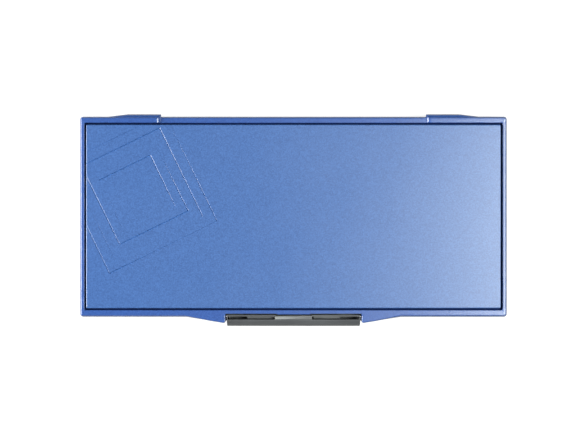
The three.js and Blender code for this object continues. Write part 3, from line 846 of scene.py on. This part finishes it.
def engraved(start, end, strong, lean):
    """A V-shaped cut between two points. strong gives how full the cut is at equal steps along it,
    and its width and depth both follow that. lean puts its lowest line off the middle: 1 is the side
    to the right of the way from start to end."""
    t = np.linspace(0, 1, cut_steps)
    full = np.maximum(np.interp(t, np.linspace(0, 1, len(strong)), strong), shallowest)[:, None]
    middle = start + (end - start) * t[:, None]
    along = (end - start) / np.linalg.norm(end - start)
    square = np.array([-along[1], along[0]]) * cut_width / 2
    above = 0.3
    rows = np.stack([
        lift(middle + square * full * (1 + above), panel_top + above * cut_depth),
        lift(middle - square * full * (1 + above), panel_top + above * cut_depth),
        lift(middle - square * full * lean, (panel_top - cut_depth * full).ravel()),
    ], axis=1)
    return loft("cut", [rows])


# For each square: side length and how strong its cuts are along their length.
squares = [
    (26.7 * mm, {"top_left": (1, 1), "top_right": (1, 1, 1, 0.6), "bottom_left": (0, 0, 0.4, 0.3)}),
    (35.6 * mm, {"top_right": (0, 0.4, 1, 1), "bottom_right": (1, 1, 1), "bottom_left": (1, 1, 1)}),
    (45.7 * mm, {"top_left": (1, 1), "top_right": (1, 1, 1), "bottom_left": (0, 0, 0.5, 0.3)}),
    (55.8 * mm, {"top_left": (0.3, 0.5, 0.4), "top_right": (0, 0.5, 1, 1),
                 "bottom_right": (0.35, 0.3, 0.5, 1), "bottom_left": (1, 1, 1)}),
]
# The steep cuts lean, so that their long face looks to the left.
side_lean = {"top_left": 0, "top_right": 0.85, "bottom_right": 0, "bottom_left": 0.85}
cuts = []
for length, sides in squares:
    u, v = length / 2 * along_u, length / 2 * along_v
    left, top, right, bottom = (squares_centre + offset for offset in (v - u, u + v, u - v, -u - v))
    ends = {"top_left": (left, top), "top_right": (top, right), "bottom_right": (right, bottom),
            "bottom_left": (left, bottom)}
    cuts += [engraved(*ends[side], strong, side_lean[side]) for side, strong in sides.items()]
combine(panel, cuts, "DIFFERENCE", crease=12)
panel_blue = pearl("pearl blue panel", (0.021, 0.066, 0.209), (0.052, 0.137, 0.377),
                   roughness=0.325, coat=0.5, grain_mm=0.6, depth=0.008 * mm)
finish_piece(panel, panel_blue, "lid", "panel_pearl", "lid_panel")


# ---- Lid liner -------------------------------------------------
# A smooth pale plastic sheet stuck under the lid, so that the ink doesn't dry into the moulding. A
# pressed bead runs round just inside its edge.

pale_sheet, tree, shader, where = principled("pale sheet", (0.5, 0.53, 0.56), 0.3)
haze = noise(tree, where, 60, 4)
tree.links.new(blend_colours(tree, ramp(tree, haze, 0.3, 0.7), (0.47, 0.5, 0.535), (0.52, 0.55, 0.58)),
               shader.inputs["Base Color"])
tree.links.new(ramp(tree, haze, 0.3, 0.7, 0.3, 0.36), shader.inputs["Roughness"])
liner_box, liner_bottom, liner_top = reach("lid_liner")
liner_row = outline_rows(liner_box, 3 * mm, 0.8 * mm)
bead_height, bead_start, bead_width = 0.25 * mm, 2.5 * mm, 1.2 * mm
liner_face = liner_bottom + bead_height
liner = loft("liner_sheet", [
    liner_row(0, liner_top),
    liner_row(0, liner_face),
    *[liner_row(bead_start + bead_width * t, liner_face - bead_height * math.sin(math.pi * t))
      for t in np.linspace(0, 1, 9)],
    liner_row(5 * mm, liner_face),
])
finish_piece(liner, pale_sheet, "lid", "liner_plastic", "lid_liner")


# ---- Lid seal --------------------------------------------------
# A ring of soft black rubber with a half-round face, set round the liner so that it meets the frame
# when the lid is shut.

seal_box, seal_bottom, seal_top = reach("lid_seal")
seal_row = outline_rows(seal_box, 3 * mm, 0.8 * mm)
seal_half, seal_round = 1.1 * mm, 0.75 * (seal_top - seal_bottom)
seal = loft("seal_ring", [
    *[seal_row(seal_half * (1 - math.cos(t)), seal_bottom + seal_round * (1 - math.sin(t)))
      for t in np.linspace(0, math.pi, 13)],
    seal_row(2 * seal_half, seal_top),
    seal_row(0, seal_top),
], ring=True)
finish_piece(seal, rubber, "lid", "seal_rubber", "lid_seal")


# ---- Latch bar -------------------------------------------------
# A grey moulding that fills the notch: a flat top, a curved front that carries on down over the tray,
# hooks that catch under the flange, and trunnions on its ends. Two long slots in its top leave thin
# strips along its back that bear on the lid and spring it shut.

(_, latch_front, _), latch_bottom, latch_top = reach("latch_bar")
latch_back = notch_y - latch_gap
flat, thick = 2.2 * mm, 1.6 * mm
strip_rear, strip_wide = latch_back + strip_step, 0.6 * mm
slot_rear, slot_width = strip_rear - strip_wide, 1.1 * mm
slot_inner, slot_step, slot_outer = 9.4 * mm, 21.7 * mm, 30.2 * mm
ledge, slot_floor = latch_top - 2.4 * mm, latch_top - 3.4 * mm
latch_section = rounded_path([
    (latch_back, latch_top - thick, 0.2 * mm),
    (latch_front + 3.2 * mm, latch_top - thick, 1.2 * mm),
    (latch_front + thick + 0.1 * mm, latch_top - 5 * mm, 3 * mm),
    (latch_front + thick + 0.4 * mm, latch_bottom, 0.3 * mm),
    (latch_front + 0.4 * mm, latch_bottom, 0.5 * mm),
    (latch_front, latch_top - 5 * mm, 6 * mm),
    (latch_front + 0.35 * mm, latch_top - 2.6 * mm, 2 * mm),
    (latch_front + 1.3 * mm, latch_top - 1 * mm, 1.2 * mm),
    (latch_back - flat, latch_top - 0.1 * mm, 0.5 * mm),
    (latch_back - flat + 0.35 * mm, latch_top, 0.2 * mm),
    (latch_back, latch_top, 0.25 * mm),
][::-1], step=0.6 * mm, arc_points=6)
latch = bar("latch_moulding", latch_section, -latch_x, latch_x, 0.35 * mm, 6)
strip = rounded_path([
    (latch_back - flat, latch_top - thick + 0.05 * mm, 0), (strip_rear, latch_top - thick, 0.2 * mm),
    (strip_rear, latch_top, 0.25 * mm), (latch_back - flat + 0.5 * mm, latch_top, 0),
    (latch_back - flat, latch_top - 0.3 * mm, 0)], step=1)
shelf_front, shelf_rear = slot_rear - slot_width - 0.6 * mm, slot_rear + 0.5 * mm
shelf = rounded_path([
    (shelf_front, slot_floor, 0), (shelf_rear, slot_floor, 0.2 * mm),
    (shelf_rear, latch_top - 0.5 * mm, 0), (shelf_front, latch_top - 0.5 * mm, 0)], step=1)
cheek_bottom = pivot_z - 1.9 * mm
cheek = rounded_path([
    (latch_back - 0.05 * mm, cheek_bottom, 0.3 * mm), (latch_back - 0.05 * mm, latch_top - 0.3 * mm, 0),
    (latch_back - flat, latch_top - 0.5 * mm, 0), (latch_front + 1.5 * mm, latch_top - thick, 0),
    (latch_front + thick, cheek_bottom, 0)], step=1)
hook_top, hook_thick = flange_bottom - closing_gap, 1.1 * mm
hook_root, hook_tip = latch_front + 0.9 * mm, tray_front + 0.8 * mm
hook = rounded_path([
    (hook_root, hook_top, 0), (hook_root, hook_top - hook_thick, 0),
    (tray_front, hook_top - hook_thick, 0.2 * mm), (hook_tip, hook_top - hook_thick / 2, 0.15 * mm),
    (hook_tip, hook_top, 0.15 * mm)], step=1)
# On each side: section, ends and edge radius of every fitting, and ends and floor of both slot depths.
fitting_list = [
    (strip, slot_inner - 1 * mm, latch_x, 0.3 * mm),
    (shelf, slot_inner - 0.9 * mm, slot_step, 0.1 * mm),
    (cheek, latch_x - thick, latch_x - 0.1 * mm, 0.15 * mm),
    (disc(pivot_y, pivot_z, trunnion_radius), latch_x - 1 * mm, latch_x + 3 * mm, 0.2 * mm),
    (hook, 6 * mm, 30.6 * mm, 0.2 * mm),
]
slot_list = [(slot_step, slot_outer, slot_floor), (slot_inner, slot_step + 0.3 * mm, ledge)]
fittings, slots = [], []
for side in (1, -1):
    fittings += [bar("fitting", section, *on_side(side, a, b), edge) for section, a, b, edge in fitting_list]
    slots += [block(*on_side(side, a, b), slot_rear - slot_width, slot_rear, bottom, latch_top + 1 * mm,
                    0.3 * mm) for a, b, bottom in slot_list]
combine(latch, fittings, "UNION")
combine(latch, slots, "DIFFERENCE", crease=32)
satin_grey = moulded("satin grey plastic", (0.068, 0.07, 0.075), (0.085, 0.088, 0.094),
                     roughness=0.36, grain_mm=0.45, depth=0.006 * mm)
finish_piece(latch, satin_grey, "latch", "latch_plastic", "latch_bar")


# ---- Floor, light and camera -----------------------------------
# A plain pale floor, 6 m across, a soft panel of light on each side and a soft pale room. The camera
# looks straight down through a long lens.

floor_mesh = bpy.data.meshes.new("floor")
floor_mesh.from_pydata([(-3, -3, 0), (3, -3, 0), (3, 3, 0), (-3, 3, 0)], [], [(0, 1, 2, 3)])
floor = new_object("floor", floor_mesh)
paper, tree, shader, where = principled("pale floor", (0.35, 0.35, 0.36), 0.9)
# Seen directly the floor is lit white from within, and it throws little light back at the case.
floor_seen = put(tree, "ShaderNodeLightPath").outputs["Is Camera Ray"]
tree.links.new(ramp(tree, floor_seen, 0, 1, 0, 0.75), shader.inputs["Emission Strength"])
shader.inputs["Emission Color"].default_value = (1, 1, 1, 1)
floor.data.materials.append(paper)


def soft_light(name, place, target, width, height, power, colour=(1, 1, 1)):
    """A rectangular light at place that faces target."""
    data = bpy.data.lights.new(name, "AREA")
    data.shape, data.size, data.size_y = "RECTANGLE", width, height
    data.energy, data.color = power, colour
    lamp = new_object(name, data)
    lamp.location = place
    lamp.rotation_euler = (Vector(target) - Vector(place)).to_track_quat("-Z", "Y").to_euler()


soft_light("left panel", (-0.75, -0.03, 0.3), (0, 0, 0), width=0.3, height=0.5, power=12)
soft_light("right panel", (0.37, -0.03, 0.74), (0.02, 0, 0), width=0.34, height=0.34, power=7.8,
           colour=(0.95, 1, 0.95))

# The room is pale overhead and at the sides, and dark low down in front and behind. Seen directly it
# is white.
world = bpy.data.worlds.new("pale room")
world.use_nodes = True
room = world.node_tree
direction = put(room, "ShaderNodeTexCoord").outputs["Generated"]
front_or_back = math_node(room, "ABSOLUTE", put(room, "ShaderNodeSeparateXYZ", {0: direction}).outputs["Y"])
sky = room.nodes["Background"]
sky.inputs["Color"].default_value = (1, 1, 1, 1)
glow = ramp(room, front_or_back, 0.3, 0.75, 0.24, 0.01)
room_seen = put(room, "ShaderNodeLightPath").outputs["Is Camera Ray"]
room.links.new(math_node(room, "MAXIMUM", glow, room_seen), sky.inputs["Strength"])
bpy.context.scene.world = world
bpy.context.scene.view_settings.view_transform = "Standard"

frame_width_at_rim = 275 * mm
camera_data = bpy.data.cameras.new("camera")
camera_data.lens, camera_data.sensor_width = 110, 36
camera_data.clip_end = 20
camera = new_object("camera", camera_data)
height = frame_width_at_rim * camera_data.lens / camera_data.sensor_width
camera.location = (0.23 * mm, -0.11 * mm, rim_top + height)
bpy.context.scene.camera = camera
